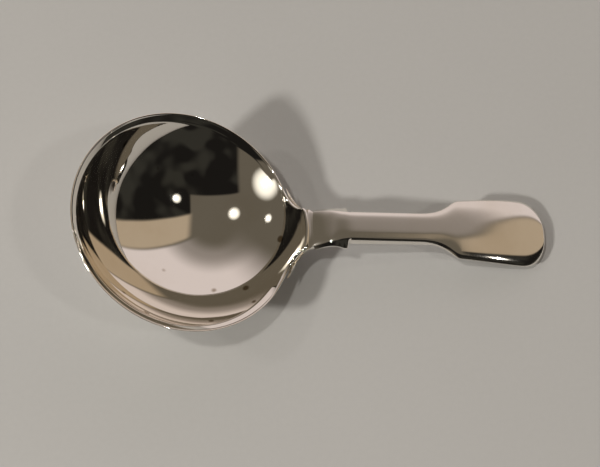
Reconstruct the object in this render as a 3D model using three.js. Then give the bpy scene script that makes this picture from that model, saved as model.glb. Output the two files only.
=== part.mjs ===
// Silver caddy spoon: a round raised bowl, a forged fiddle handle and the hard solder between them.
// Millimetres. The pieces are shaped with the rim of the bowl level at z = 0 and the handle along +X, and
// the whole spoon is then laid down on the back of its bowl and the tip of its handle.
import * as THREE from "three";
import { mergeVertices } from "three/addons/utils/BufferGeometryUtils.js";

// Bowl, a cap of a sphere in sheet
const RIM_RADIUS = 22.5; // widest circle of the rim
const BOWL_DEPTH = 12.8; // from the rim plane down to the inside of the bottom
const BOWL_WALL = 0.8;

// Throat, where the rim climbs to meet the stem
const THROAT_RISE = 3.7; // top of the throat above the rim plane
const THROAT_HALF_WIDTH = 4.3; // half of its level top, across the spoon
const THROAT_SWEEP = 5.3; // width of the hollow curve on each side of it
const THROAT_CROWN = 0.3; // fall of its top from the middle to each end

// Solder joint between the bowl and the handle
const SEAM_THICKNESS = 0.25; // gap that the solder fills
const SEAM_CLEARANCE = 0.05; // solder to each piece
const SEAM_SPILL = 0.35; // how far the solder shows round the root of the handle

// Root of the handle, lapped on the back of the bowl
const HEEL_DROP = 8; // lowest point of the heel below the rim plane
const HEEL_HALF_WIDTH = 3.6;
const HEEL_EDGE = 0.45; // thickness at the end of the heel
const HEEL_TAPER = 1.5; // exponent of its growth towards the neck
const WING_HALF_WIDTH = 9.2; // reach of the root along the rim, to each side
const WING_DEPTH = 4.5; // the wings fade into the heel this far below the rim plane
const WING_HOLLOW = 0.85; // exponent of the wings' fall to a thin edge
const NECK_FULLNESS = 0.35; // exponent of the rounder back of the neck
const WING_MARGIN = 0.15; // the root stays this far inside the edge of the throat
const NECK_TURN = 0.3; // share of the root's height above which its back turns towards the stem
const NECK_SWELL = 0.75; // share above which its wings fill out into the neck

// Side view of the handle, as slopes against the rim plane and lengths along its top
const NECK_ANGLE = 48.5;
const STEM_ANGLE = 16.4;
const TIP_ANGLE = 6.3;
const NECK_LENGTH = 0.4;
const NECK_BEND = 8.7;
const DROOP_LENGTH = 26.4; // the handle turns down over this last stretch
const HANDLE_LENGTH = 48.1;

// Thickness of the handle
const ROOT_THICKNESS = 2.7;
const STEM_THICKNESS = 2.1;
const PADDLE_THICKNESS = 1.7;
const TIP_THICKNESS = 1.9;

// Plan of the handle: half widths, and places along its length. Up to the shoulders a sloping ledge runs
// along each side of the top.
const WAIST_HALF_WIDTH = 3.95;
const WAIST_AT = 3.6;
const SHOULDER_HALF_WIDTH = 4.25;
const SHOULDER_AT = 6.6;
const SHOULDER_LENGTH = 0.45;
const SHOULDER_STEP = 0.95;
const STEM_HALF_WIDTH = 3.14;
const FLARE_AT = 21.5;
const FLARE_LENGTH = 8.6;
const PADDLE_HALF_WIDTH = 6.2; // at the shoulders of the broad end
const END_HALF_WIDTH = 7; // where the rounded end begins
const END_LENGTH = 5.6;
const END_SQUARENESS = 2.35; // exponent of the rounded end, 2 would be an ellipse
const THROAT_PULL = 0.33; // share of the way to the waist over which the side leaves the throat
const WAIST_PULL = 0.5; // share over which it runs into the waist
const FLARE_START_PULL = 0.7; // share of the flare over which it leaves the line of the stem
const FLARE_END_PULL = 0.25; // share over which it runs into the side of the broad end
const SIDE_PULL = 0.7; // share of that side at which it has reached its full width

// Section of the handle
const STEM_SQUARENESS = 2.7; // exponent of the rounded top of the stem, 2 would be an ellipse
const PADDLE_SQUARENESS = 2.6; // the same for the broad end
const NECK_TOP_SHARE = 0.22; // part of the thickness that lies above the edge of the top, at the neck
const STEM_TOP_SHARE = 0.52;
const PADDLE_TOP_SHARE = 0.75;
const RIDGE_SHARE = 0.88; // part of the rounded top that is left between the ledges of the neck
const LEDGE_SLOPE = 1; // fall of a ledge for each unit of its width
const NECK_ROUND = 2.3; // rounding of the belly of the neck
const BACK_ROUND = 0.4; // rounding along the edges of the flat back
const END_ROUND = 0.9; // rounding of the top and back at the tip
const ROUND_LIMIT = 0.9; // most of the height of a side that the rounding of the back takes up

// Facets
const RIM_STEPS = 60;
const SWEEP_STEPS = 7;
const THROAT_STEPS = 4;
const WALL_STEPS = 14;
const LIP_STEPS = 4;
const TOP_STEPS = 14;
const BACK_STEPS = 14;
const BACK_ARC_STEPS = 3;
const HEEL_STEPS = 18;
const STATION_GAP = 1.3;
const CURVE_STEPS = 9;
const SLOPE_STEPS = 80;
const WELD = 1e-4; // points closer together than this are one

const rad = THREE.MathUtils.degToRad;
const mix = THREE.MathUtils.lerp;
const ease = THREE.MathUtils.smoothstep;

// The two faces of the wall are spheres about one centre on the axis of the bowl. The sphere halfway
// between them ends in the middle of the rounded lip.
const lip = BOWL_WALL / 2;
const middleRadius = ((RIM_RADIUS - lip) ** 2 + BOWL_DEPTH ** 2) / (2 * BOWL_DEPTH);
const insideRadius = middleRadius - lip;
const outsideRadius = middleRadius + lip;
const centreHeight = insideRadius - BOWL_DEPTH;
const throatReach = THROAT_HALF_WIDTH + THROAT_SWEEP;
const throatCorner = THROAT_RISE - THROAT_CROWN; // height of each end of its top
const seat = outsideRadius + SEAM_THICKNESS; // sphere that the root of the handle is shaped to
const flareEnd = FLARE_AT + FLARE_LENGTH;
const shoulderEnd = SHOULDER_AT + SHOULDER_LENGTH;
const ledgeEnd = shoulderEnd + SHOULDER_STEP;
const neckHalfWidth = THROAT_HALF_WIDTH - WING_MARGIN;

// A closed solid through rings of points, each ring with as many points as the next, closed at both ends.
function loft(rings) {
  const size = rings[0].length;
  const points = rings.flat();
  const faces = [];
  for (let r = 0; r + 1 < rings.length; r++) {
    for (let i = 0; i < size; i++) {
      const j = (i + 1) % size;
      const [a, b] = [r * size + i, r * size + j];
      faces.push(a, a + size, b, b, a + size, b + size);
    }
  }
  for (const [ring, start] of [[rings[0], 0], [rings.at(-1), points.length - size]]) {
    const middle = ring.reduce((sum, p) => sum.add(p), new THREE.Vector3()).divideScalar(size);
    const hub = points.push(middle) - 1;
    for (let i = 0; i < size; i++) {
      const [a, b] = [start + i, start + ((i + 1) % size)];
      faces.push(...(start ? [b, a, hub] : [a, b, hub]));
    }
  }
  const solid = new THREE.BufferGeometry().setFromPoints(points).setIndex(faces);
  const whole = mergeVertices(solid, WELD).toNonIndexed();
  whole.computeVertexNormals();
  return whole;
}

// Half width of the throat at a height above the rim plane, along its hollow elliptical flank.
function throatHalfWidth(height) {
  const turn = Math.acos(1 - THREE.MathUtils.clamp(height / throatCorner, 0, 1));
  return throatReach - THROAT_SWEEP * Math.sin(turn);
}

// Upper edge of the bowl as azimuth and height: level round the bowl, then up one flank of the throat,
// across its crowned top and down the other.
function rimLine() {
  const flank = [];
  for (let k = SWEEP_STEPS; k >= 1; k--) {
    const height = throatCorner * (1 - Math.cos((k / SWEEP_STEPS) * (Math.PI / 2)));
    flank.push([throatHalfWidth(height), height]);
  }
  const top = [];
  for (let k = 1; k < THROAT_STEPS; k++) {
    const across = (2 * k) / THROAT_STEPS - 1;
    top.push([across * THROAT_HALF_WIDTH, THROAT_RISE - THROAT_CROWN * across ** 2]);
  }
  const mirrored = flank.map(([across, height]) => [-across, height]).toReversed();
  const throat = [...mirrored, ...top, ...flank].map(([across, height]) => {
    const radius = Math.sqrt(outsideRadius ** 2 - (centreHeight - height) ** 2);
    return [Math.asin(across / radius), height];
  });
  const edge = Math.asin(throatReach / Math.sqrt(outsideRadius ** 2 - centreHeight ** 2));
  const level = [];
  for (let k = 0; k <= RIM_STEPS; k++) level.push([mix(edge, 2 * Math.PI - edge, k / RIM_STEPS), 0]);
  return [...throat, ...level];
}

// Raised bowl: the wall follows the two spheres from the bottom to a half round lip along the rim line.
function bowlGeometry() {
  const meridians = rimLine().map(([azimuth, height]) => {
    const polar = Math.acos((centreHeight - height + lip) / middleRadius);
    const at = (radius, angle) => [radius * Math.sin(angle), centreHeight - radius * Math.cos(angle)];
    const profile = [];
    for (let k = 1; k <= WALL_STEPS; k++) profile.push(at(insideRadius, (polar * k) / WALL_STEPS));
    const [lipRadius, lipHeight] = at(middleRadius, polar);
    for (let k = 1; k < LIP_STEPS; k++) {
      const turn = polar - (k / LIP_STEPS) * Math.PI;
      profile.push([lipRadius - lip * Math.sin(turn), lipHeight + lip * Math.cos(turn)]);
    }
    for (let k = WALL_STEPS; k >= 1; k--) profile.push(at(outsideRadius, (polar * k) / WALL_STEPS));
    return profile.map(([radius, z]) =>
      new THREE.Vector3(radius * Math.cos(azimuth), radius * Math.sin(azimuth), z));
  });
  return loft(meridians[0].map((_, k) => meridians.map((meridian) => meridian[k])));
}

// Half width of the root of the handle at a height against the rim plane: the round end of the heel, its
// straight sides, the wings under the rim and, above it, the throat.
function rootHalfWidth(height) {
  if (height >= 0) return Math.min(WING_HALF_WIDTH, throatHalfWidth(height) - WING_MARGIN);
  const end = THREE.MathUtils.clamp((height + HEEL_DROP) / HEEL_HALF_WIDTH, 0, 1);
  const heel = HEEL_HALF_WIDTH * Math.sqrt(1 - (1 - end) ** 2);
  const wing = THREE.MathUtils.clamp(1 + height / WING_DEPTH, 0, 1);
  return mix(heel, WING_HALF_WIDTH, 1 - Math.sqrt(1 - wing ** 2));
}

// Heights of the slices through the root, from the end of the heel to the top of the throat, closest
// together at the rounded end and under the rim.
function rootHeights() {
  const below = (k) => -HEEL_DROP * (1 + Math.cos((k / HEEL_STEPS) * Math.PI)) / 2;
  const heights = [];
  for (let k = 1; k <= HEEL_STEPS; k++) heights.push(below(k));
  for (let k = 1; k <= SWEEP_STEPS; k++) {
    heights.push(throatCorner * (1 - Math.cos((k / SWEEP_STEPS) * (Math.PI / 2))));
  }
  return heights;
}

// Points of a slice of the root on a sphere about the centre of the bowl, at shares of its half width.
function acrossRoot(radius, height, halfWidth, shares) {
  const lift = THROAT_CROWN * Math.max(0, height / throatCorner);
  return shares.map((share) => {
    const y = share * halfWidth;
    const z = height + lift * (1 - share ** 2);
    return new THREE.Vector3(Math.sqrt(radius ** 2 - (centreHeight - z) ** 2 - y ** 2), y, z);
  });
}

// Shares of a half width from one side to the other, closest together at the sides.
function sideToSide(steps) {
  return Array.from({ length: steps + 1 }, (_, k) => -Math.cos((k / steps) * Math.PI));
}

// Slices of the heel and neck: one face lies on the solder, the other swells away from the bowl and turns
// into the back of the stem.
function rootRings() {
  const full = throatCorner + HEEL_DROP;
  return rootHeights().map((height) => {
    const share = (height + HEEL_DROP) / full;
    const halfWidth = rootHalfWidth(height);
    const thickness = mix(HEEL_EDGE, ROOT_THICKNESS, share ** HEEL_TAPER);
    const outward = Math.asin((centreHeight - height) / seat);
    const fall = mix(outward, rad(90 - NECK_ANGLE), ease(share, NECK_TURN, 1));
    const swell = mix(WING_HOLLOW, NECK_FULLNESS, ease(share, NECK_SWELL, 1));
    const shares = sideToSide(BACK_STEPS).slice(1, -1).toReversed();
    const front = acrossRoot(seat, height, halfWidth, sideToSide(TOP_STEPS));
    const back = acrossRoot(seat, height, halfWidth, shares);
    back.forEach((point, k) => {
      const depth = thickness * (1 - shares[k] ** 2) ** swell;
      point.x += depth * Math.cos(fall);
      point.z -= depth * Math.sin(fall);
    });
    return [...front, ...back];
  });
}

// Slope of the top of the handle at a distance from the throat.
function slopeAt(along) {
  const bend = ease(along, NECK_LENGTH, NECK_LENGTH + NECK_BEND);
  const droop = ease(along, HANDLE_LENGTH - DROOP_LENGTH, HANDLE_LENGTH);
  return rad(mix(mix(NECK_ANGLE, STEM_ANGLE, bend), TIP_ANGLE, droop));
}

// Point of the top of the handle, summed along its slope from the throat.
function topAt(along) {
  const start = Math.sqrt(seat ** 2 - (centreHeight - THROAT_RISE) ** 2);
  const point = new THREE.Vector3(start, 0, THROAT_RISE);
  const step = along / SLOPE_STEPS;
  for (let k = 0; k < SLOPE_STEPS; k++) {
    const slope = slopeAt((k + 0.5) * step);
    point.x += Math.cos(slope) * step;
    point.z += Math.sin(slope) * step;
  }
  return point;
}

// Thickness of the handle: deep at the neck, evenly tapered along the stem, thin in the flare and a
// little fuller at the tip.
function thicknessAt(along) {
  if (along < FLARE_AT) return mix(ROOT_THICKNESS, STEM_THICKNESS, along / FLARE_AT);
  if (along < flareEnd) return mix(STEM_THICKNESS, PADDLE_THICKNESS, (along - FLARE_AT) / FLARE_LENGTH);
  return mix(PADDLE_THICKNESS, TIP_THICKNESS, (along - flareEnd) / (HANDLE_LENGTH - flareEnd));
}

// Fall of the top of the handle where its tip is rounded.
function endFallAt(along) {
  const reach = THREE.MathUtils.clamp((along - HANDLE_LENGTH + END_ROUND) / END_ROUND, 0, 1);
  return END_ROUND * (1 - Math.sqrt(1 - reach ** 2));
}

// Depth of the back below the line of the top; at the tip it rises half as far as the top falls.
function backDepthAt(along) {
  return thicknessAt(along) - endFallAt(along) / 2;
}

// Direction into the thickness of the handle, square to its top.
function downAt(along) {
  const slope = slopeAt(along);
  return new THREE.Vector3(Math.sin(slope), 0, -Math.cos(slope));
}

// Plan of the handle from the throat to the tip: distance along it and half width, over the ledges.
function planPoints() {
  const endAt = HANDLE_LENGTH - END_LENGTH;
  const plan = new THREE.Path().moveTo(0, neckHalfWidth);
  plan.bezierCurveTo(
    THROAT_PULL * WAIST_AT, neckHalfWidth,
    (1 - WAIST_PULL) * WAIST_AT, WAIST_HALF_WIDTH,
    WAIST_AT, WAIST_HALF_WIDTH);
  plan.quadraticCurveTo((WAIST_AT + SHOULDER_AT) / 2, WAIST_HALF_WIDTH, SHOULDER_AT, SHOULDER_HALF_WIDTH);
  plan.lineTo(shoulderEnd, SHOULDER_HALF_WIDTH);
  plan.lineTo(ledgeEnd, STEM_HALF_WIDTH);
  plan.lineTo(FLARE_AT, STEM_HALF_WIDTH);
  plan.bezierCurveTo(
    FLARE_AT + FLARE_START_PULL * FLARE_LENGTH, STEM_HALF_WIDTH,
    flareEnd - FLARE_END_PULL * FLARE_LENGTH, PADDLE_HALF_WIDTH,
    flareEnd, PADDLE_HALF_WIDTH);
  plan.quadraticCurveTo(mix(flareEnd, endAt, SIDE_PULL), END_HALF_WIDTH, endAt, END_HALF_WIDTH);
  for (let k = 1; k <= CURVE_STEPS; k++) {
    const turn = (k / CURVE_STEPS) * (Math.PI / 2);
    plan.lineTo(
      endAt + END_LENGTH * Math.sin(turn) ** (2 / END_SQUARENESS),
      END_HALF_WIDTH * Math.cos(turn) ** (2 / END_SQUARENESS));
  }
  const points = [];
  for (const point of plan.getPoints(CURVE_STEPS)) {
    const last = points.at(-1);
    const gap = last ? point.x - last.x : 0;
    const parts = Math.max(1, Math.ceil(gap / STATION_GAP));
    for (let k = 1; last && k < parts; k++) points.push(last.clone().lerp(point, k / parts));
    if (!last || gap > WELD) points.push(point);
  }
  return points.slice(1, -1);
}

// Half width of the top of the handle: it draws in from the throat to the stem, inside the ledges.
function edgeHalfWidth(along, halfWidth) {
  if (along >= ledgeEnd) return halfWidth;
  return mix(neckHalfWidth, STEM_HALF_WIDTH, along / ledgeEnd);
}

// Section of the handle at a distance from the throat: a rounded top, cut down to a sloping ledge along
// each side of the neck, then the sides and a flat back.
function stemRing(along, halfWidth) {
  const top = topAt(along);
  const down = downAt(along);
  const thickness = thicknessAt(along);
  const broad = ease(along, FLARE_AT, flareEnd);
  const squareness = mix(STEM_SQUARENESS, PADDLE_SQUARENESS, broad);
  const edge = edgeHalfWidth(along, halfWidth);
  const endFall = endFallAt(along);
  const backDepth = backDepthAt(along);
  const grown = ease(along, WAIST_AT, SHOULDER_AT);
  const stemShare = mix(NECK_TOP_SHARE, STEM_TOP_SHARE, grown);
  const edgeDepth = thickness * mix(stemShare, PADDLE_TOP_SHARE, broad);
  const ridge = along < ledgeEnd ? RIDGE_SHARE : 1;
  const depthAt = (share) => {
    const height = (1 - share ** squareness) ** (1 / squareness);
    return mix(edgeDepth, endFall, height);
  };
  const at = (y, depth) => top.clone().addScaledVector(down, depth).setY(y);
  const ring = [];
  for (let k = 0; k <= TOP_STEPS; k++) {
    const turn = (k / TOP_STEPS) * Math.PI;
    const share = ridge * Math.abs(Math.cos(turn)) ** (2 / squareness);
    ring.push(at(-Math.sign(Math.cos(turn)) * share * edge, depthAt(share)));
  }
  const ledgeDepth = depthAt(ridge) + (halfWidth - ridge * edge) * LEDGE_SLOPE;
  const fullRound = mix(NECK_ROUND, BACK_ROUND, grown);
  const round = Math.min(fullRound, halfWidth / 2, ROUND_LIMIT * (backDepth - ledgeDepth));
  const flat = halfWidth - round;
  const side = [[halfWidth, Math.max(ledgeDepth, (edgeDepth + backDepth - round) / 2)]];
  for (let k = 0; k <= BACK_ARC_STEPS; k++) {
    const turn = (k / BACK_ARC_STEPS) * (Math.PI / 2);
    side.push([flat + round * Math.cos(turn), backDepth - round * (1 - Math.sin(turn))]);
  }
  const flatSteps = BACK_STEPS - 2 * side.length;
  for (const [y, depth] of side) ring.push(at(y, depth));
  for (let k = 1; k < flatSteps; k++) ring.push(at(flat * (1 - (2 * k) / flatSteps), backDepth));
  for (const [y, depth] of side.toReversed()) ring.push(at(-y, depth));
  return ring;
}

// Forged handle, from the end of the heel on the back of the bowl to the tip.
function handleGeometry() {
  const stations = planPoints().map((point) => stemRing(point.x, point.y));
  return loft([...rootRings(), ...stations]);
}

// Hard solder between the bowl and the root, showing a little all round it.
function seamGeometry() {
  const inner = outsideRadius + SEAM_CLEARANCE;
  const outer = outsideRadius + SEAM_THICKNESS - SEAM_CLEARANCE;
  const rings = rootHeights().map((height) => {
    const spill = height < 0 ? SEAM_SPILL : SEAM_SPILL * (1 - height / throatCorner);
    const halfWidth = rootHalfWidth(height) + spill;
    const shares = sideToSide(TOP_STEPS);
    const back = acrossRoot(outer, height, halfWidth, shares.toReversed());
    return [...acrossRoot(inner, height, halfWidth, shares), ...back];
  });
  return loft(rings);
}

// The tilt at which the handle comes down on the table that the back of the bowl rests on.
function restingTilt() {
  let tilt = Math.PI / 2;
  for (const { x } of planPoints()) {
    const back = topAt(x).addScaledVector(downAt(x), backDepthAt(x));
    const rise = back.z - centreHeight;
    const clear = Math.asin(outsideRadius / Math.hypot(back.x, rise));
    tilt = Math.min(tilt, clear + Math.atan2(rise, back.x));
  }
  return tilt;
}

const silver = new THREE.MeshStandardMaterial({ color: 0xd8d2c4, metalness: 1, roughness: 0.06 });
const handleSilver = new THREE.MeshStandardMaterial({ color: 0xd8d2c4, metalness: 1, roughness: 0.09 });
const solder = new THREE.MeshStandardMaterial({ color: 0xb9b3a4, metalness: 1, roughness: 0.25 });

const spoon = new THREE.Group();
for (const [name, geometry, material] of [
  ["bowl", bowlGeometry(), silver],
  ["handle", handleGeometry(), handleSilver],
  ["solder_seam", seamGeometry(), solder],
]) {
  const piece = new THREE.Mesh(geometry, material);
  piece.name = name;
  spoon.add(piece);
}

// Lay the spoon on the table, with the middle of its box above the origin.
spoon.rotation.y = restingTilt();
const laid = new THREE.Box3().setFromObject(spoon, true);
spoon.position.set(-(laid.min.x + laid.max.x) / 2, -(laid.min.y + laid.max.y) / 2, -laid.min.z);

const part = new THREE.Group();
part.add(spoon);

export default part;
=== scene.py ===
import math

import bmesh
import bpy
from bpy.props import FloatProperty, FloatVectorProperty, PointerProperty
from mathutils import Matrix, Vector
from mathutils.geometry import interpolate_bezier

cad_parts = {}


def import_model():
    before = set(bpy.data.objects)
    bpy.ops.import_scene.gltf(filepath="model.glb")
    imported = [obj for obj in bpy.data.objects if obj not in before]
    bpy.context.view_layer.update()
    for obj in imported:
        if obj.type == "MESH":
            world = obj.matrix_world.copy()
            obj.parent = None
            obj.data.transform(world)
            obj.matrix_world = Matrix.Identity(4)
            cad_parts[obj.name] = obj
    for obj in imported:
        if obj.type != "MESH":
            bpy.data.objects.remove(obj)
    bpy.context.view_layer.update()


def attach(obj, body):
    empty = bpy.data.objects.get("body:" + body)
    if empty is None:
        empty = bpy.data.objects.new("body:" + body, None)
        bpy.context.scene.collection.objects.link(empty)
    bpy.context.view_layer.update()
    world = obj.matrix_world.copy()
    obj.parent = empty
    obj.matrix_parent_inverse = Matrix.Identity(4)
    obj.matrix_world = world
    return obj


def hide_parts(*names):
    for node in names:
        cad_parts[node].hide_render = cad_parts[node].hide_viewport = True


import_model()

bl_info = {
    "name": "Caddy Spoon",
    "version": (1, 0, 0),
    "blender": (4, 5, 0),
    "location": "3D View > Sidebar > Spoon",
    "description": "Builds a silver caddy spoon with its finish, and a lit table that shows it",
    "category": "Object",
}

MM = 0.001


def length(name, description, millimetres):
    """A size of the spoon, given in millimetres and kept in metres."""
    return FloatProperty(
        name=name, description=description, default=millimetres * MM, unit="LENGTH", precision=5)


def angle(name, description, degrees):
    """An angle, given in degrees and kept in radians."""
    return FloatProperty(
        name=name, description=description, default=math.radians(degrees), subtype="ANGLE")


def share(name, description, default):
    """A plain number, such as a part of a size or an exponent."""
    return FloatProperty(name=name, description=description, default=default)


def colour(name, description, default):
    """A linear colour."""
    return FloatVectorProperty(
        name=name, description=description, default=default, size=3, subtype="COLOR")


class BowlSettings(bpy.types.PropertyGroup):
    """Sizes of the bowl, its throat and the way it lies."""
    rim_radius: length("Rim radius", "Widest circle of the rim", 22.5)
    depth: length("Depth", "From the rim plane down to the inside of the bottom", 12.8)
    wall: length("Wall", "Thickness of the sheet", 0.8)
    throat_rise: length("Throat rise", "Top of the throat above the rim plane", 3.7)
    throat_half_width: length("Throat half width", "Half of the level top of the throat", 4.3)
    throat_sweep: length("Throat sweep", "Width of the hollow curve on each side", 5.3)
    throat_crown: length("Throat crown", "Fall of the top from its middle to each end", 0.3)
    edge_share: share("Edge share", "Part of the wall that is left at the edge of the rim", 0.45)
    bevel_reach: length("Bevel reach", "Width of the bevel inside the rim", 1.0)
    tilt: angle("Tilt", "Slope of the rim plane when the spoon lies on a table", 24.335)
    rim_x: length("Rim along", "Centre of the rim along the spoon", -25.022)
    rim_z: length("Rim height", "Centre of the rim above the table", 14.691)


class HandleSettings(bpy.types.PropertyGroup):
    """Sizes of the handle and of the solder under its root."""
    seam: length("Seam", "Gap that the solder fills", 0.25)
    seam_clearance: length("Seam clearance", "Solder to each piece", 0.05)
    seam_spill: length("Seam spill", "How far the solder shows round the root", 0.35)
    heel_drop: length("Heel drop", "Lowest point of the heel below the rim plane", 8)
    heel_half_width: length("Heel half width", "Half of the straight part of the heel", 3.6)
    heel_edge: length("Heel edge", "Thickness at the end of the heel", 0.45)
    heel_taper: share("Heel taper", "Exponent of the heel's growth towards the neck", 1.5)
    wing_half_width: length("Wing half width", "Reach of the root along the rim", 9.2)
    wing_depth: length("Wing depth", "The wings fade into the heel this far below the rim", 4.5)
    wing_hollow: share("Wing hollow", "Exponent of the wings' fall to a thin edge", 0.85)
    neck_fullness: share("Neck fullness", "Exponent of the rounder back of the neck", 0.35)
    wing_margin: length("Wing margin", "The root stays this far inside the edge of the throat", 0.15)
    neck_angle: angle("Neck angle", "Slope of the neck against the rim plane", 48.5)
    stem_angle: angle("Stem angle", "Slope of the stem against the rim plane", 16.4)
    tip_angle: angle("Tip angle", "Slope of the tip against the rim plane", 3.1)
    neck_length: length("Neck length", "Straight part of the neck", 0.4)
    neck_bend: length("Neck bend", "Stretch over which the neck turns into the stem", 8.7)
    droop_length: length("Droop length", "The handle turns down over this last stretch", 20.1)
    handle_length: length("Handle length", "Along the top, from the throat to the tip", 48.1)
    root_thickness: length("Root thickness", "At the neck", 2.7)
    stem_thickness: length("Stem thickness", "Where the flare begins", 2.1)
    paddle_thickness: length("Paddle thickness", "Where the flare ends", 1.7)
    tip_thickness: length("Tip thickness", "At the tip", 1.9)
    waist_half_width: length("Waist half width", "Narrowest part of the ledges", 3.95)
    waist_at: length("Waist", "Place of the waist along the handle", 3.6)
    shoulder_half_width: length("Shoulder half width", "At the small square shoulders", 4.25)
    shoulder_at: length("Shoulder", "Place of the shoulders along the handle", 6.6)
    shoulder_length: length("Shoulder length", "Level part of a shoulder", 0.45)
    shoulder_step: length("Shoulder step", "Length of the fall from shoulder to stem", 0.95)
    stem_half_width: length("Stem half width", "Along the straight stem", 3.14)
    flare_at: length("Flare", "Place where the stem begins to widen", 21.5)
    flare_length: length("Flare length", "Length of the widening", 8.6)
    paddle_half_width: length("Paddle half width", "At the shoulders of the broad end", 6.2)
    end_half_width: length("End half width", "Where the rounded end begins", 7)
    end_length: length("End length", "Length of the rounded end", 5.6)
    end_squareness: share("End squareness", "Exponent of the rounded end", 2.35)
    stem_squareness: share("Stem squareness", "Exponent of the rounded top of the stem", 3.6)
    paddle_squareness: share("Paddle squareness", "Exponent of the rounded top at the end", 2.8)
    neck_top_share: share("Neck top share", "Part of the thickness above the edge, at the neck", 0.22)
    stem_top_share: share("Stem top share", "Part of the thickness above the edge of the stem", 0.52)
    paddle_top_share: share("Paddle top share", "Part of the thickness above the edge, at the end", 0.92)
    filed_share: share("Filed share", "Part of the rounded top left by the file at the end", 0.98)
    ridge_share: share("Ridge share", "Part of the rounded top left between the ledges", 0.88)
    ledge_slope: share("Ledge slope", "Fall of a ledge for each unit of its width", 1)
    lap: length("Lap", "Stretch of the neck that is filed into the edge of the bowl", 0.12)
    neck_round: length("Neck round", "Rounding of the belly of the neck", 2.3)
    back_round: length("Back round", "Rounding along the edges of the flat back", 0.4)
    end_round: length("End round", "Rounding of the top and back at the tip", 0.9)
    round_limit: share("Round limit", "Most of a side that the rounding of the back takes up", 0.9)


class FinishSettings(bpy.types.PropertyGroup):
    """Colours and polish of the silver and the solder."""
    silver: colour("Silver", "Polished silver", (0.93, 0.89, 0.83))
    tarnish: colour("Tarnish", "Silver where it has begun to dull", (0.78, 0.71, 0.60))
    solder: colour("Solder", "Hard solder in the joint", (0.62, 0.58, 0.52))
    polish: share("Polish", "Roughness of the polished bowl", 0.02)
    handle_polish: share("Handle polish", "Roughness of the handle, which is worn by the hand", 0.08)
    wear: share("Wear", "Added roughness in rubbed places", 0.04)
    spot: colour("Spot", "Dark spots of tarnish", (0.33, 0.26, 0.18))
    scratch_depth: length("Scratch depth", "Depth of the fine scratches", 0.00025)
    wave_depth: length("Wave depth", "Height of the faint waves that finishing by hand leaves", 0.018)


class StageSettings(bpy.types.PropertyGroup):
    """Table, light and camera."""
    table: colour("Table", "Pale table top", (0.467, 0.461, 0.448))
    table_reach: length("Table reach", "Half of the table's side", 3000)
    table_gap: length("Table gap", "Clearance under the lowest point of the spoon", 0.02)
    room: colour("Room", "Dim upper part of the room", (0.12, 0.104, 0.08))
    bounce: colour("Bounce", "Bright wall behind the table", (0.67, 0.59, 0.565))
    wall: colour("Wall", "Warm wall at the end of the table", (0.42, 0.335, 0.24))
    front: colour("Front", "Dark side of the room in front of the table", (0.01, 0.009, 0.008))
    clutter: colour("Clutter", "Paler patches in the dark side of the room", (0.03, 0.0285, 0.0235))
    halo: colour("Halo", "Shade round each lamp", (1.3, 1.24, 1.1))
    lamp: colour("Lamp", "Light of the lamps", (1.0, 0.97, 0.92))
    lamp_distance: length("Lamp distance", "From the spoon to each lamp", 1500)
    lens: length("Lens", "Focal length on a 36 mm sensor", 75)
    camera: FloatVectorProperty(
        name="Camera", description="Place of the camera", size=3, subtype="TRANSLATION",
        default=(1.31 * MM, -92.96 * MM, 235.83 * MM))
    turn: FloatVectorProperty(
        name="Turn", description="Rotation of the camera", size=3, subtype="EULER",
        default=(math.radians(21.954), math.radians(1.581), math.radians(-0.978)))


def clamp(value, low=0.0, high=1.0):
    """The value, kept between two limits."""
    return min(max(value, low), high)


def mix(start, end, part):
    """Part of the way from one value to another."""
    return start + (end - start) * part


def ease(value, low, high):
    """A smooth step from 0 at low to 1 at high."""
    part = clamp((value - low) / (high - low))
    return part * part * (3 - 2 * part)


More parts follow.
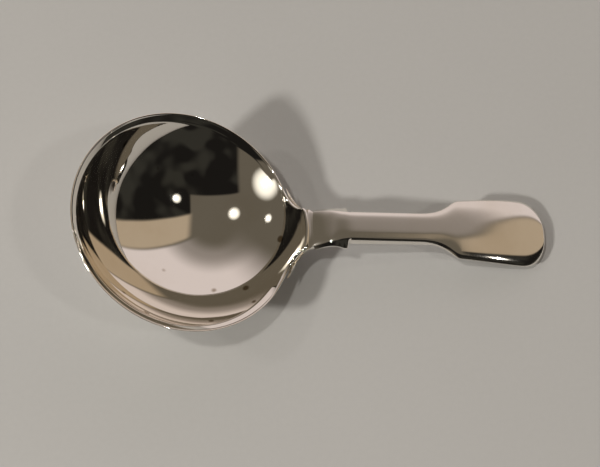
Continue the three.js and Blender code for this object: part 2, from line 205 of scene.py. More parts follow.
class BowlShape:
    """The two spheres of the wall about one centre, and the edge that climbs to the throat.

    The rim plane is z = 0 and the handle lies along +X.
    """
    SECTOR = math.radians(45)
    SAMPLES = 240

    def __init__(self, bowl):
        self.settings = bowl
        self.lip = bowl.wall / 2
        self.middle = ((bowl.rim_radius - self.lip) ** 2 + bowl.depth ** 2) / (2 * bowl.depth)
        self.inside = self.middle - self.lip
        self.outside = self.middle + self.lip
        self.height = self.inside - bowl.depth
        self.centre = Vector((0, 0, self.height))
        self.reach = bowl.throat_half_width + bowl.throat_sweep
        self.rise = bowl.throat_rise - bowl.throat_crown
        self.rim_polar = self.polar(0)
        self.line = self.edge_line()

    def polar(self, height):
        """Angle from straight down to the middle of the lip, where the edge has this height."""
        return math.acos((self.height - height + self.lip) / self.middle)

    def throat_half_width(self, height):
        """Distance from the middle of the throat to its edge at a height."""
        turn = math.acos(1 - clamp(height / self.rise))
        return self.reach - self.settings.throat_sweep * math.sin(turn)

    def throat_height(self, across):
        """Height of the edge at a distance from the middle of the throat."""
        bowl = self.settings
        if across < bowl.throat_half_width:
            return bowl.throat_rise - bowl.throat_crown * (across / bowl.throat_half_width) ** 2
        turn = math.asin(clamp((self.reach - across) / bowl.throat_sweep))
        return self.rise * (1 - math.cos(turn))

    def edge_line(self):
        """Half of the edge in the sector of the throat: distance along it, azimuth and polar angle."""
        bowl = self.settings
        places = []
        for k in range(self.SAMPLES + 1):
            across = bowl.throat_half_width * k / self.SAMPLES
            places.append((across, self.throat_height(across)))
        for k in range(1, self.SAMPLES + 1):
            turn = (1 - k / self.SAMPLES) * math.pi / 2
            across = self.reach - bowl.throat_sweep * math.sin(turn)
            places.append((across, self.rise * (1 - math.cos(turn))))
        line = []
        for across, height in places:
            level = math.sqrt(self.outside ** 2 - (self.height - height) ** 2)
            line.append((math.asin(across / level), self.polar(height)))
        line.append((self.SECTOR, self.rim_polar))
        travelled = 0
        out = [(0, *line[0])]
        for before, after in zip(line, line[1:]):
            travelled += (self.direction(*after) - self.direction(*before)).length
            out.append((travelled, *after))
        return out

    @staticmethod
    def direction(azimuth, polar):
        """Unit vector from the centre of the spheres."""
        flat = math.sin(polar)
        return Vector((flat * math.cos(azimuth), flat * math.sin(azimuth), -math.cos(polar)))

    def edge(self, azimuth):
        """Azimuth and polar angle of the edge where an even division of the rim has this azimuth."""
        if abs(azimuth) >= self.SECTOR:
            return azimuth, self.rim_polar
        wanted = abs(azimuth) / self.SECTOR * self.line[-1][0]
        low, high = 0, len(self.line) - 1
        while high - low > 1:
            half = (low + high) // 2
            low, high = (half, high) if self.line[half][0] <= wanted else (low, half)
        start, end = self.line[low], self.line[high]
        part = (wanted - start[0]) / (end[0] - start[0])
        return math.copysign(mix(start[1], end[1], part), azimuth), mix(start[2], end[2], part)

    def lay(self):
        """From the rim plane to the spoon as it lies on the table."""
        bowl = self.settings
        place = Matrix.Translation((bowl.rim_x, 0, bowl.rim_z))
        return place @ Matrix.Rotation(bowl.tilt, 4, "Y")


class HandleShape:
    """Side view, plan and sections of the handle, and the root that laps the back of the bowl."""
    TOP_STEPS = 56
    BACK_STEPS = 44
    BACK_ARC_STEPS = 8
    HEEL_STEPS = 48
    NECK_STEPS = 24
    CURVE_STEPS = 36
    LEDGE_STEPS = 6
    SLOPE_STEP = 0.05 * MM
    # Most and least distance from one section of the stem to the next.
    STATION_GAP = 0.35 * MM
    LEAST_GAP = 1e-6 * MM
    # Shares of a stretch at which the middle points of its curve lie.
    NECK_SHARES = (1 / 3, 1 / 2)
    STEP_SHARES = (0.6, 0.4)
    FLARE_SHARES = (0.7, 0.75)
    SIDE_SHARE = 0.7
    CORNER_SHARE = 2 / 3
    # Shares of the height of the root at which it begins to turn to the neck, and to fill out.
    TURN_FROM = 0.3
    FILL_FROM = 0.75
    # How far over the lip the neck is lapped, and the exponent of its fade to the sides.
    LAP_OVER = 1.03
    LAP_FADE = 8

    def __init__(self, bowl, handle):
        self.bowl = bowl
        self.settings = handle
        self.seat = bowl.outside + handle.seam
        self.flare_end = handle.flare_at + handle.flare_length
        self.ledge_end = handle.shoulder_at + handle.shoulder_length + handle.shoulder_step
        self.neck_half_width = bowl.settings.throat_half_width - handle.wing_margin
        self.end_at = handle.handle_length - handle.end_length
        self.tops = self.top_line()

    def slope(self, along):
        """Slope of the top against the rim plane."""
        handle = self.settings
        bend = ease(along, handle.neck_length, handle.neck_length + handle.neck_bend)
        droop = ease(along, handle.handle_length - handle.droop_length, handle.handle_length)
        return mix(mix(handle.neck_angle, handle.stem_angle, bend), handle.tip_angle, droop)

    def top_line(self):
        """Points of the top of the handle, a small even step apart."""
        rise = self.bowl.settings.throat_rise
        point = Vector((math.sqrt(self.seat ** 2 - (self.bowl.height - rise) ** 2), 0, rise))
        points = [point.copy()]
        for k in range(math.ceil(self.settings.handle_length / self.SLOPE_STEP)):
            slope = self.slope((k + 0.5) * self.SLOPE_STEP)
            point += Vector((math.cos(slope), 0, math.sin(slope))) * self.SLOPE_STEP
            points.append(point.copy())
        return points

    def top(self, along):
        """Point of the top in the middle of the handle."""
        place = along / self.SLOPE_STEP
        k = min(int(place), len(self.tops) - 2)
        return self.tops[k].lerp(self.tops[k + 1], place - k)

    def thickness(self, along):
        """From the top to the flat back."""
        handle = self.settings
        if along < handle.flare_at:
            return mix(handle.root_thickness, handle.stem_thickness, along / handle.flare_at)
        if along < self.flare_end:
            flared = (along - handle.flare_at) / handle.flare_length
            return mix(handle.stem_thickness, handle.paddle_thickness, flared)
        part = (along - self.flare_end) / (handle.handle_length - self.flare_end)
        return mix(handle.paddle_thickness, handle.tip_thickness, part)

    @staticmethod
    def swing(start, end, shares):
        """Four points of a curve that runs along the handle at both ends."""
        first, second = (mix(start[0], end[0], part) for part in shares)
        return start, (first, start[1]), (second, end[1]), end

    def bow(self, start, corner, end):
        """Four points of a curve that turns once, at a corner."""
        middles = [Vector(place).lerp(Vector(corner), self.CORNER_SHARE) for place in (start, end)]
        return start, *middles, end

    def plan(self):
        """Places along the handle with the half width there, from the throat to the tip."""
        handle = self.settings
        neck = (0, self.neck_half_width)
        waist = (handle.waist_at, handle.waist_half_width)
        hollow = ((handle.waist_at + handle.shoulder_at) / 2, handle.waist_half_width)
        shoulder = (handle.shoulder_at, handle.shoulder_half_width)
        corner = (handle.shoulder_at + handle.shoulder_length, handle.shoulder_half_width)
        stem = (self.ledge_end, handle.stem_half_width)
        flare = (handle.flare_at, handle.stem_half_width)
        paddle = (self.flare_end, handle.paddle_half_width)
        side = (mix(self.flare_end, self.end_at, self.SIDE_SHARE), handle.end_half_width)
        end = (self.end_at, handle.end_half_width)
        curves = [
            self.swing(neck, waist, self.NECK_SHARES),
            self.bow(waist, hollow, shoulder),
            self.swing(corner, stem, self.STEP_SHARES),
            self.swing(flare, paddle, self.FLARE_SHARES),
            self.bow(paddle, side, end),
        ]
        corners = []
        for curve in curves:
            corners += interpolate_bezier(*[Vector(point) for point in curve], self.CURVE_STEPS)
        for k in range(1, self.CURVE_STEPS):
            turn = k / self.CURVE_STEPS * math.pi / 2
            corners.append(Vector((
                self.end_at + handle.end_length * math.sin(turn) ** (2 / handle.end_squareness),
                handle.end_half_width * math.cos(turn) ** (2 / handle.end_squareness))))
        points = []
        for before, after in zip(corners, corners[1:]):
            gap = after.x - before.x
            if gap > self.LEAST_GAP:
                parts = math.ceil(gap / self.STATION_GAP)
                points += [before.lerp(after, (k + 1) / parts) for k in range(parts)]
        return points

    def root_half_width(self, height):
        """Half width of the heel, of the wings above it and of the neck between the sides of the throat."""
        handle = self.settings
        if height >= 0:
            return min(handle.wing_half_width, self.bowl.throat_half_width(height) - handle.wing_margin)
        end = clamp((height + handle.heel_drop) / handle.heel_half_width)
        heel = handle.heel_half_width * math.sqrt(1 - (1 - end) ** 2)
        wing = clamp(1 + height / handle.wing_depth)
        return mix(heel, handle.wing_half_width, 1 - math.sqrt(1 - wing ** 2))

    def root_heights(self):
        """Heights of the slices from the end of the heel to the top of the throat."""
        drop = self.settings.heel_drop
        heel = [k / self.HEEL_STEPS * math.pi for k in range(1, self.HEEL_STEPS + 1)]
        neck = [k / self.NECK_STEPS * math.pi / 2 for k in range(1, self.NECK_STEPS + 1)]
        heights = [-drop * (1 + math.cos(turn)) / 2 for turn in heel]
        return heights + [self.bowl.rise * (1 - math.cos(turn)) for turn in neck]

    def on_sphere(self, radius, height, across, part):
        """A point of a slice of the root on a sphere about the centre of the bowl."""
        lift = self.bowl.settings.throat_crown * max(0, height / self.bowl.rise)
        z = height + lift * (1 - part ** 2)
        return Vector((math.sqrt(radius ** 2 - (self.bowl.height - z) ** 2 - across ** 2), across, z))

    def root_ring(self, height):
        """A slice of the root: one face on the solder, the other swelling away from the bowl."""
        handle = self.settings
        grown = (height + handle.heel_drop) / (self.bowl.rise + handle.heel_drop)
        half_width = self.root_half_width(height)
        thickness = mix(handle.heel_edge, handle.root_thickness, grown ** handle.heel_taper)
        outward = math.asin((self.bowl.height - height) / self.seat)
        fall = mix(outward, math.pi / 2 - handle.neck_angle, ease(grown, self.TURN_FROM, 1))
        swell = mix(handle.wing_hollow, handle.neck_fullness, ease(grown, self.FILL_FROM, 1))
        ring = []
        for k in range(self.TOP_STEPS + 1):
            part = -math.cos(k / self.TOP_STEPS * math.pi)
            ring.append(self.on_sphere(self.seat, height, part * half_width, part))
        for k in range(1, self.BACK_STEPS):
            part = math.cos(k / self.BACK_STEPS * math.pi)
            depth = thickness * (1 - part ** 2) ** swell
            point = self.on_sphere(self.seat, height, part * half_width, part)
            ring.append(point + Vector((math.cos(fall), 0, -math.sin(fall))) * depth)
        return ring

    def edge_half_width(self, along, half_width):
        """The rounded top draws in evenly from the throat to the stem."""
        if along >= self.ledge_end:
            return half_width
        return mix(self.neck_half_width, self.settings.stem_half_width, along / self.ledge_end)

    def stem_ring(self, along, half_width):
        """A section: a rounded top, a ledge along each side of the neck, and a flat back."""
        handle = self.settings
        slope = self.slope(along)
        down = Vector((math.sin(slope), 0, -math.cos(slope)))
        top = self.top(along)
        thickness = self.thickness(along)
        broad = ease(along, handle.flare_at, self.flare_end)
        grown = ease(along, handle.waist_at, handle.shoulder_at)
        squareness = mix(handle.stem_squareness, handle.paddle_squareness, broad)
        filed = mix(1, handle.filed_share, broad)
        ridge = handle.ridge_share if along < self.ledge_end else filed
        edge = self.edge_half_width(along, half_width) / filed
        top_share = mix(handle.neck_top_share, handle.stem_top_share, grown)
        edge_depth = thickness * mix(top_share, handle.paddle_top_share, broad)
        reach = clamp((along - handle.handle_length + handle.end_round) / handle.end_round)
        end_fall = handle.end_round * (1 - math.sqrt(1 - reach ** 2))

        def depth_at(part):
            """Depth of the rounded top at a share of its half width."""
            height = (1 - part ** squareness) ** (1 / squareness)
            return mix(edge_depth, end_fall, height)

        section = []
        for k in range(self.TOP_STEPS + 1):
            turn = k / self.TOP_STEPS * math.pi
            part = ridge * abs(math.cos(turn)) ** (2 / squareness)
            section.append((-math.copysign(part * edge, math.cos(turn)), depth_at(part)))
        back = thickness - end_fall / 2
        ledge_depth = depth_at(ridge) + (half_width - ridge * edge) * handle.ledge_slope
        most = mix(mix(handle.neck_round, handle.back_round, grown), handle.neck_round, broad)
        rounding = min(most, half_width / 2, handle.round_limit * (back - ledge_depth))
        flat = half_width - rounding
        # The ledge falls to its foot, which stays above the rounding of the back.
        foot = mix(max(ledge_depth, (edge_depth + back - rounding) / 2), ledge_depth, broad)
        foot = min(foot, back - rounding)
        side = []
        for k in range(1, self.LEDGE_STEPS + 1):
            part = k / self.LEDGE_STEPS
            side.append((mix(ridge * edge, half_width, part), mix(depth_at(ridge), foot, part)))
        for k in range(self.BACK_ARC_STEPS + 1):
            turn = k / self.BACK_ARC_STEPS * math.pi / 2
            side.append((flat + rounding * math.cos(turn), back - rounding * (1 - math.sin(turn))))
        flat_steps = self.BACK_STEPS - 2 * len(side)
        section += side
        section += [(flat * (1 - 2 * k / flat_steps), back) for k in range(1, flat_steps)]
        section += [(-across, depth) for across, depth in reversed(side)]
        return [top + down * depth + Vector((0, across, 0)) for across, depth in section]

    def crest(self, point, part):
        """The place on the lip that a point of the joint is filed down to."""
        outward = point - self.bowl.centre
        azimuth = math.atan2(outward.y, outward.x)
        polar = self.bowl.polar(self.bowl.throat_height(abs(point.y)))
        lip = self.bowl.centre + self.bowl.direction(azimuth, polar) * self.bowl.middle
        lip += self.bowl.direction(azimuth, polar + math.pi / 2) * self.bowl.lip * self.LAP_OVER
        return lip.lerp(point, part ** self.LAP_FADE)

    def lap_rings(self, joint, stations):
        """The first sections of the neck, hollowed from the lip into the slope of the handle."""
        handle = self.settings
        end = self.stem_ring(handle.lap, self.neck_half_width)
        slope = self.slope(handle.lap)
        back_along = Vector((math.cos(slope), 0, math.sin(slope))) * (handle.lap / 2)
        parts = [abs(math.cos(k / self.TOP_STEPS * math.pi)) for k in range(self.TOP_STEPS + 1)]
        starts = [self.crest(joint[k], part) for k, part in enumerate(parts)]
        rings = [starts + joint[self.TOP_STEPS + 1:]]
        for place in stations:
            ring = self.stem_ring(place.x, place.y)
            part = place.x / handle.lap
            for k, start in enumerate(starts):
                bend = end[k] - back_along
                ring[k] = start.lerp(bend, part).lerp(bend.lerp(end[k], part), part)
            rings.append(ring)
        return rings

    def rings(self):
        """All sections, from the end of the heel to the tip."""
        root = [self.root_ring(height) for height in self.root_heights()]
        plan, lap = self.plan(), self.settings.lap
        first = self.lap_rings(root[-1], [place for place in plan if place.x < lap])
        return root + first + [self.stem_ring(place.x, place.y) for place in plan if place.x >= lap]


class Term:
    """A shader socket that takes part in Python arithmetic, and adds other nodes to its tree."""

    def __init__(self, tree, socket=None):
        self.tree = tree
        self.socket = socket

    def node(self, kind, settings=None, inputs=None, output=0):
        """Adds a node, with its settings first and then its sockets, and gives one output."""
        node = self.tree.nodes.new(kind)
        for key, value in (settings or {}).items():
            setattr(node, key, value)
        for key, value in (inputs or {}).items():
            if isinstance(value, Term):
                self.tree.links.new(value.socket, node.inputs[key])
            else:
                node.inputs[key].default_value = value
        return Term(self.tree, node.outputs[output] if node.outputs else None)

    def math(self, operation, *values):
        """Adds a Math node."""
        return self.node("ShaderNodeMath", {"operation": operation}, dict(enumerate(values)))

    def __add__(self, other):
        return self.math("ADD", self, other)

    def __radd__(self, other):
        return self.math("ADD", other, self)

    def __sub__(self, other):
        return self.math("SUBTRACT", self, other)

    def __rsub__(self, other):
        return self.math("SUBTRACT", other, self)

    def __mul__(self, other):
        return self.math("MULTIPLY", self, other)

    def __rmul__(self, other):
        return self.math("MULTIPLY", other, self)

    def step(self, low, high):
        """A smooth step from 0 at low to 1 at high."""
        return self.node(
            "ShaderNodeMapRange", {"interpolation_type": "SMOOTHSTEP"},
            {"Value": self, "From Min": low, "From Max": high})

    def tint(self, low, high):
        """From one colour to another, with this as the part."""
        pair = {6: low, 7: high}
        for key, value in pair.items():
            if not isinstance(value, Term):
                pair[key] = (*value, 1)
        return self.node("ShaderNodeMix", {"data_type": "RGBA"}, {0: self, **pair}, output=2)


def new_material(name):
    """An empty material, and a term to add its nodes with."""
    material = bpy.data.materials.new(name)
    material.use_nodes = True
    material.node_tree.nodes.clear()
    return material, Term(material.node_tree)


def finish_material(shader, **inputs):
    """Ends a material in one Principled shader."""
    sockets = {key.replace("_", " ").title(): value for key, value in inputs.items()}
    surface = shader.node("ShaderNodeBsdfPrincipled", None, sockets)
    shader.node("ShaderNodeOutputMaterial", None, {"Surface": surface})


OBJECT_COORDINATES = 3  # output of the Texture Coordinate node
# Directions of the fine scratches: a turn in radians, and the scale across.
SCRATCHES = [(0.6, 2600), (-0.9, 3100)]
SCRATCH_STRETCH = 0.02  # scale along a scratch, as a share of that across it
SCRATCH_STEP = (0.62, 0.74)
SCRATCH_ROUGHNESS = 0.02
# Where the cloud pattern turns to warm bloom and to rubbed patches, and the most of each.
BLOOM_STEP, BLOOM_MOST = (0.45, 0.8), 0.5
RUBBED_STEP, RUBBED_MOST = (0.4, 0.75), 0.5
# Dark spots: cells to a metre, how ragged they are, their edge, and the chance that keeps a cell.
SPOT_SCALE, SPOT_RAGGED = 210, 0.3
SPOT_EDGE, SPOT_CHANCE = (0.32, 0.22), (0.6, 0.62)
WAVE_SCALE = 150
SOLDER_GRAIN = 900
SOLDER_ROUGHNESS = (0.18, 0.2)
SOLDER_PITS = 0.05 * MM


def noise(shader, place, scale, detail, roughness=0.5):
    """A soft random pattern, from 0 to 1."""
    return shader.node("ShaderNodeTexNoise", None, {
        "Vector": place, "Scale": scale, "Detail": detail, "Roughness": roughness})


def scratches(shader, place, turn, scale):
    """Fine straight marks in one direction, from 0 to 1."""
    along = scale * SCRATCH_STRETCH
    turned = shader.node("ShaderNodeMapping", None, {
        "Vector": place, "Rotation": (0, 0, turn), "Scale": (scale, along, along)})
    return noise(shader, turned, scale=1, detail=2).step(*SCRATCH_STEP)


def silver_material(name, finish, polish, tarnish_scale):
    """Polished silver with rubbed patches, a warm bloom, dark spots, faint waves and fine scratches."""
    material, shader = new_material(name)
    place = shader.node("ShaderNodeTexCoord", output=OBJECT_COORDINATES)
    cloud = noise(shader, place, tarnish_scale, detail=5, roughness=0.6)
    bloom = cloud.step(*BLOOM_STEP) * BLOOM_MOST
    cells = {"Vector": place, "Scale": SPOT_SCALE}
    distance, chance = (shader.node("ShaderNodeTexVoronoi", None, cells, output) for output in (0, 1))
    spots = (distance + cloud * SPOT_RAGGED).step(*SPOT_EDGE) * chance.step(*SPOT_CHANCE)
    first, second = (scratches(shader, place, turn, scale) for turn, scale in SCRATCHES)
    marks = first + second
    rough = cloud.step(*RUBBED_STEP) * finish.wear * RUBBED_MOST + marks * SCRATCH_ROUGHNESS + polish
    waves = noise(shader, place, WAVE_SCALE, detail=1)
    height = waves * finish.wave_depth - marks * finish.scratch_depth
    bump = shader.node("ShaderNodeBump", None, {"Strength": 1.0, "Distance": 1.0, "Height": height})
    tone = spots.tint(bloom.tint(finish.silver, finish.tarnish), finish.spot)
    finish_material(shader, base_color=tone, roughness=rough, metallic=1.0, normal=bump)
    return material


def solder_material(finish):
    """Duller, slightly pitted solder."""
    material, shader = new_material("hard_solder")
    place = shader.node("ShaderNodeTexCoord", output=OBJECT_COORDINATES)
    grain = noise(shader, place, SOLDER_GRAIN, detail=4)
    bump = shader.node("ShaderNodeBump", None, {"Strength": 0.3, "Distance": SOLDER_PITS, "Height": grain})
    smooth, added = SOLDER_ROUGHNESS
    finish_material(
        shader, base_color=grain.tint(finish.solder, finish.tarnish), roughness=grain * added + smooth,
        metallic=1.0, normal=bump)
    return material


SHARP_ANGLE = math.radians(40)


def add_piece(name, bm, material):
    """Makes the bmesh a smooth shaded piece that rides on the spoon."""
    mesh = bpy.data.meshes.new(name)
    bm.to_mesh(mesh)
    bm.free()
    mesh.polygons.foreach_set("use_smooth", [True] * len(mesh.polygons))
    mesh.set_sharp_from_angle(angle=SHARP_ANGLE)
    mesh.materials.append(material)
    piece = bpy.data.objects.new(name, mesh)
    bpy.context.scene.collection.objects.link(piece)
    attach(piece, "root")
    return piece


class SPOON_OT_bowl(bpy.types.Operator):
    """Raise the round bowl with its throat"""
    bl_idname = "spoon.bowl"
    bl_label = "Bowl"
    WALL_STEPS = 44
    LIP_STEPS = 10
    BEVEL_STEPS = 8
    RIM_STEPS = 360
    BEVEL_FADE = (math.radians(27), math.radians(40))  # from the middle of the throat
    WELD = 0.001 * MM
    PROBE_SHARE = 0.1  # of a step round the rim
    GATHER_FROM = 0.3  # share of the way up the wall
    TARNISH_SCALE = 60

    def execute(self, context):
        shape = BowlShape(context.scene.spoon_bowl)
        bm = bmesh.new()
        self.spin_wall(bm, shape)
        self.raise_throat(bm, shape)
        self.bevel_rim(bm, shape)
        bmesh.ops.recalc_face_normals(bm, faces=bm.faces)
        bmesh.ops.transform(bm, matrix=shape.lay(), verts=bm.verts)
        finish = context.scene.spoon_finish
        material = silver_material("bowl_silver", finish, finish.polish, self.TARNISH_SCALE)
        piece = add_piece("bowl_shell", bm, material)
        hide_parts("bowl")
        return {"FINISHED"}

    def spin_wall(self, bm, shape):
        """Spins the profile of the wall, up the inside, over the lip and down the outside."""
        across = Vector((0, 1, 0))
        end = [bm.verts.new(shape.centre - Vector((0, 0, shape.inside)))]
        lip = shape.centre + shape.direction(0, shape.rim_polar) * shape.middle
        bevel = shape.settings.bevel_reach / shape.inside
        for centre, turn, steps in [
            (shape.centre, bevel - shape.rim_polar, self.WALL_STEPS),
            (shape.centre, -bevel, self.BEVEL_STEPS),
            (lip, math.pi, self.LIP_STEPS),
            (shape.centre, shape.rim_polar, self.WALL_STEPS),
        ]:
            arc = bmesh.ops.spin(bm, geom=end, cent=centre, axis=across, angle=turn, steps=steps)
            end = [part for part in arc["geom_last"] if isinstance(part, bmesh.types.BMVert)]
        bmesh.ops.spin(
            bm, geom=bm.verts[:] + bm.edges[:], axis=(0, 0, 1), angle=2 * math.pi, steps=self.RIM_STEPS,
            use_merge=True)
        bmesh.ops.remove_doubles(bm, verts=bm.verts, dist=self.WELD)

    def raise_throat(self, bm, shape):
        """Slides the wall up its spheres to the edge of the throat, and turns the lip square to it."""
        small = self.PROBE_SHARE * shape.SECTOR / self.RIM_STEPS
        for vert in bm.verts:
            azimuth = math.atan2(vert.co.y, vert.co.x)
            if abs(azimuth) >= shape.SECTOR or vert.co.xy.length < shape.lip:
                continue
            arm = vert.co - shape.centre
            polar = math.acos(-arm.z / arm.length)
            edge_azimuth, edge_polar = shape.edge(azimuth)
            if polar <= shape.rim_polar + small:
                part = polar / shape.rim_polar
                turned = mix(azimuth, edge_azimuth, ease(part, self.GATHER_FROM, 1))
                vert.co = shape.centre + shape.direction(turned, edge_polar * part) * arm.length
                continue
            start = shape.direction(azimuth, shape.rim_polar)
            climb = shape.direction(azimuth, shape.rim_polar + math.pi / 2)
            offset = arm - start * shape.middle
            here = shape.direction(edge_azimuth, edge_polar)
            behind, ahead = (shape.direction(*shape.edge(azimuth + step)) for step in (-small, small))
            outward = here.cross(ahead - behind).normalized()
            lip = here * (shape.middle + offset.dot(start)) + outward * offset.dot(climb)
            vert.co = shape.centre + lip

    def bevel_rim(self, bm, shape):
        """Thins the wall from the inside to a fine edge, except along the throat."""
        bowl = shape.settings
        bevel = bowl.bevel_reach / shape.inside
        for vert in bm.verts:
            arm = vert.co - shape.centre
            polar = math.acos(-arm.z / arm.length)
            left = mix(bowl.edge_share, 1, clamp((shape.rim_polar - polar) / bevel))
            left = mix(1, left, ease(abs(math.atan2(vert.co.y, vert.co.x)), *self.BEVEL_FADE))
            vert.co = shape.centre + arm * mix(shape.outside / arm.length, 1, left)


GRID_WELD = 0.0005 * MM


def wrap_grid(bm, rings):
    """Wraps a grid round the rings, closes it along its length and caps both ends."""
    size = len(rings[0])
    bmesh.ops.create_grid(bm, x_segments=len(rings) - 1, y_segments=size, size=1)
    for vert in bm.verts:
        row = round((vert.co.x + 1) / 2 * (len(rings) - 1))
        column = round((vert.co.y + 1) / 2 * size)
        vert.co = rings[row][column % size]
    bmesh.ops.remove_doubles(bm, verts=bm.verts, dist=GRID_WELD)
    bmesh.ops.holes_fill(bm, edges=[edge for edge in bm.edges if edge.is_boundary])
    bmesh.ops.recalc_face_normals(bm, faces=bm.faces)


class SPOON_OT_handle(bpy.types.Operator):
    """Forge the handle, from the heel on the back of the bowl to the tip"""
    bl_idname = "spoon.handle"
    bl_label = "Handle"
    TARNISH_SCALE = 45

    def execute(self, context):
        bowl = BowlShape(context.scene.spoon_bowl)
        shape = HandleShape(bowl, context.scene.spoon_handle)
        bm = bmesh.new()
        wrap_grid(bm, shape.rings())
        bmesh.ops.transform(bm, matrix=bowl.lay(), verts=bm.verts)
        finish = context.scene.spoon_finish
        material = silver_material("handle_silver", finish, finish.handle_polish, self.TARNISH_SCALE)
        piece = add_piece("forged_handle", bm, material)
        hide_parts("handle")
        return {"FINISHED"}


class SPOON_OT_seam(bpy.types.Operator):
    """Run the solder between the bowl and the root of the handle"""
    bl_idname = "spoon.seam"
    bl_label = "Solder seam"
    COLUMNS = 40

    def execute(self, context):
        bowl = BowlShape(context.scene.spoon_bowl)
        shape = HandleShape(bowl, context.scene.spoon_handle)
        handle = shape.settings
        inner = bowl.outside + handle.seam_clearance
        outer = bowl.outside + handle.seam - handle.seam_clearance
        parts = [-math.cos(k / self.COLUMNS * math.pi) for k in range(self.COLUMNS + 1)]
        rings = []
        for height in shape.root_heights():
            spill = handle.seam_spill * (1 - max(0, height / bowl.rise))
            half_width = shape.root_half_width(height) + spill
            ring = [shape.on_sphere(inner, height, part * half_width, part) for part in parts]
            ring += [shape.on_sphere(outer, height, part * half_width, part) for part in reversed(parts)]
            rings.append(ring)
        bm = bmesh.new()
        wrap_grid(bm, rings)
        bmesh.ops.transform(bm, matrix=bowl.lay(), verts=bm.verts)
        piece = add_piece("solder_line", bm, solder_material(context.scene.spoon_finish))
        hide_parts("solder_seam")
        return {"FINISHED"}


def heading(azimuth, elevation):
    """Unit vector towards a place in the room, from angles in degrees."""
    turn, lift = math.radians(azimuth), math.radians(elevation)
    return Vector((math.cos(lift) * math.cos(turn), math.cos(lift) * math.sin(turn), math.sin(lift)))


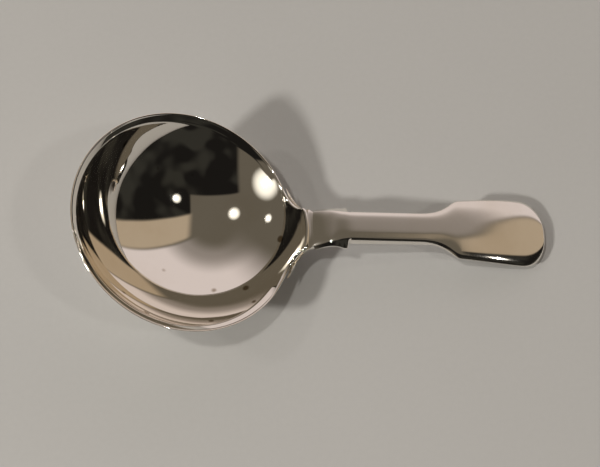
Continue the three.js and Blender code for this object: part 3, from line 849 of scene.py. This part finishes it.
class SPOON_OT_stage(bpy.types.Operator):
    """Set up the table, the room, the lamps and the camera"""
    bl_idname = "spoon.stage"
    bl_label = "Stage"
    # Azimuth and elevation of each lamp in degrees, its angular radius, that of its halo, and its radiance.
    LAMPS = [
        (-153, 33, 2.6, 14.7, 300),
        (-163, 71, 2.2, 6.5, 140),
        (174, 41, 1.4, 4, 100),
        (-29, 52, 1.8, 4.8, 78),
    ]
    HALO_CORE = 0.28  # share of a halo's radius that is at full strength
    # Corners of the room: azimuth and lean in degrees, and the softness of the edge.
    PALE_WALL = (32.5, -5, 0.03), (126, 0, 0.3)
    WARM_WALL = (15, 11.3, 0.03), (32, 3, 0.03)
    FRONT_END = (15, -11.3, 0.03)
    # Light on the pale wall: elevations up to which it is full and from which there is none, and its share.
    PALE_LEVELS = [(58, 73, 0.27), (37, 59, 0.73)]
    # Straight edges overhead: azimuth that they face, how far out they are, and their softness.
    WARM_EDGE = (0, 0.35, 0.06)
    CEILING_EDGES = (0, 0.345, 0.02), (-90, 0.385, 0.02)
    FRONT_EDGE = (0, -0.39, 0.04)
    CLUTTER_SCALE = 3
    CLUTTER_STEP = (0.46, 0.66)
    SENSOR = 36  # millimetres
    CLIP_START = 5 * MM
    # Broad and fine pattern of the paint: scale, detail and share of each.
    PAINT_PATTERNS = [(14, 3, 0.6), (900, 2, 0.4)]
    PAINT_RANGE = (0.94, 1.06)
    PAINT_ROUGHNESS = 0.55

    def execute(self, context):
        stage = context.scene.spoon_stage
        self.add_table(context, stage)
        self.light_room(context, stage)
        for number, (azimuth, elevation, radius, _, radiance) in enumerate(self.LAMPS):
            self.add_lamp(context, stage, f"lamp_{number}", heading(azimuth, elevation), radius, radiance)
        self.add_camera(context, stage)
        context.scene.view_settings.view_transform = "Standard"
        return {"FINISHED"}

    def add_table(self, context, stage):
        """A plain painted top that the spoon lies on."""
        bm = bmesh.new()
        bmesh.ops.create_grid(bm, x_segments=1, y_segments=1, size=stage.table_reach)
        bmesh.ops.translate(bm, vec=(0, 0, -stage.table_gap), verts=bm.verts)
        mesh = bpy.data.meshes.new("table_top")
        bm.to_mesh(mesh)
        bm.free()
        material, shader = new_material("table_paint")
        place = shader.node("ShaderNodeTexCoord", output=OBJECT_COORDINATES)
        cloud, grain = (
            noise(shader, place, scale, detail) * part for scale, detail, part in self.PAINT_PATTERNS)
        low, high = (Vector(stage.table) * level for level in self.PAINT_RANGE)
        finish_material(shader, base_color=(cloud + grain).tint(low, high), roughness=self.PAINT_ROUGHNESS)
        mesh.materials.append(material)
        table = bpy.data.objects.new("table_top", mesh)
        context.scene.collection.objects.link(table)

    def light_room(self, context, stage):
        """Dim all round, with a pale wall behind the table, a warm one at its end and a dark front."""
        world = bpy.data.worlds.new("room")
        world.use_nodes = True
        world.node_tree.nodes.clear()
        shader = Term(world.node_tree)
        ray = shader.node("ShaderNodeTexCoord", output=0)

        def towards(azimuth, elevation=0.0):
            """How far a ray points this way, from -1 to 1."""
            pair = {0: ray, 1: heading(azimuth, elevation)}
            return shader.node("ShaderNodeVectorMath", {"operation": "DOT_PRODUCT"}, pair, output=1)

        def below(full, none):
            """From 1 under one elevation to 0 above the other."""
            return towards(0, 90).step(math.sin(math.radians(none)), math.sin(math.radians(full)))

        def after(azimuth, lean, blur):
            """From 0 clockwise of a corner of the room to 1 on its other side, which a lean widens."""
            return towards(azimuth + 90, lean).step(-blur, blur)

        def before(azimuth, lean, blur):
            """From 1 clockwise of a corner, which a lean widens, to 0 on its other side."""
            return towards(azimuth - 90, lean).step(-blur, blur)

        def beyond(azimuth, edge, blur):
            """From 0 to 1 past a straight edge overhead."""
            return towards(azimuth).step(edge - blur, edge + blur)

        upper, lower = (below(full, none) * part for full, none, part in self.PALE_LEVELS)
        bounce = after(*self.PALE_WALL[0]) * before(*self.PALE_WALL[1]) * (upper + lower)
        wall = after(*self.WARM_WALL[0]) * before(*self.WARM_WALL[1]) * beyond(*self.WARM_EDGE)
        lengthwise, crosswise = (1 - beyond(*edge) for edge in self.CEILING_EDGES)
        ceiling = lengthwise * crosswise
        front = beyond(*self.FRONT_EDGE) * before(*self.FRONT_END) * (1 - ceiling)
        tone = bounce.tint(stage.room, stage.bounce)
        tone = wall.tint(tone, stage.wall)
        clutter = noise(shader, ray, self.CLUTTER_SCALE, detail=1)
        tone = front.tint(tone, clutter.step(*self.CLUTTER_STEP).tint(stage.front, stage.clutter))
        for azimuth, elevation, _, halo, _ in self.LAMPS:
            edge, core = (math.cos(math.radians(halo * part)) for part in (1, self.HALO_CORE))
            tone = towards(azimuth, elevation).step(edge, core).tint(tone, stage.halo)
        light = shader.node("ShaderNodeBackground", None, {"Color": tone, "Strength": 1.0})
        shader.node("ShaderNodeOutputWorld", None, {"Surface": light})
        context.scene.world = world

    def add_lamp(self, context, stage, name, aim, radius, radiance):
        """A round lamp that faces the spoon, with its power from its size and radiance."""
        lamp = bpy.data.lights.new(name, "AREA")
        lamp.shape = "DISK"
        lamp.size = 2 * stage.lamp_distance * math.tan(math.radians(radius))
        lamp.color = stage.lamp
        lamp.energy = radiance * math.pi * math.pi * (lamp.size / 2) ** 2
        holder = bpy.data.objects.new(name, lamp)
        holder.location = aim * stage.lamp_distance
        holder.rotation_euler = aim.to_track_quat("Z", "Y").to_euler()
        context.scene.collection.objects.link(holder)

    def add_camera(self, context, stage):
        """The view that the scene opens with."""
        camera = bpy.data.cameras.new("view")
        camera.lens = stage.lens / MM
        camera.sensor_width = self.SENSOR
        camera.sensor_fit = "HORIZONTAL"
        camera.clip_start = self.CLIP_START
        holder = bpy.data.objects.new("view", camera)
        holder.location = stage.camera
        holder.rotation_euler = stage.turn
        context.scene.collection.objects.link(holder)
        context.scene.camera = holder


class SPOON_PT_panel(bpy.types.Panel):
    """Sizes of the spoon and the steps that make it"""
    bl_idname = "SPOON_PT_panel"
    bl_label = "Caddy Spoon"
    bl_space_type = "VIEW_3D"
    bl_region_type = "UI"
    bl_category = "Spoon"

    def draw(self, context):
        for operator in OPERATORS:
            self.layout.operator(operator.bl_idname)
        for name in SETTINGS:
            group = getattr(context.scene, name)
            box = self.layout.box()
            for key in group.__annotations__:
                box.prop(group, key)


OPERATORS = [SPOON_OT_stage, SPOON_OT_bowl, SPOON_OT_handle, SPOON_OT_seam]
SETTINGS = {
    "spoon_bowl": BowlSettings,
    "spoon_handle": HandleSettings,
    "spoon_finish": FinishSettings,
    "spoon_stage": StageSettings,
}


def register():
    """Adds the settings, the steps and the panel."""
    for group in SETTINGS.values():
        bpy.utils.register_class(group)
    for name, group in SETTINGS.items():
        setattr(bpy.types.Scene, name, PointerProperty(type=group))
    for item in [*OPERATORS, SPOON_PT_panel]:
        bpy.utils.register_class(item)


def unregister():
    """Takes the panel, the steps and the settings out again."""
    for item in [SPOON_PT_panel, *OPERATORS]:
        bpy.utils.unregister_class(item)
    for name, group in SETTINGS.items():
        delattr(bpy.types.Scene, name)
        bpy.utils.unregister_class(group)


def main():
    """Builds the spoon on its table."""
    register()
    bpy.ops.spoon.stage()
    bpy.ops.spoon.bowl()
    bpy.ops.spoon.handle()
    bpy.ops.spoon.seam()


if __name__ == "__main__":
    main()
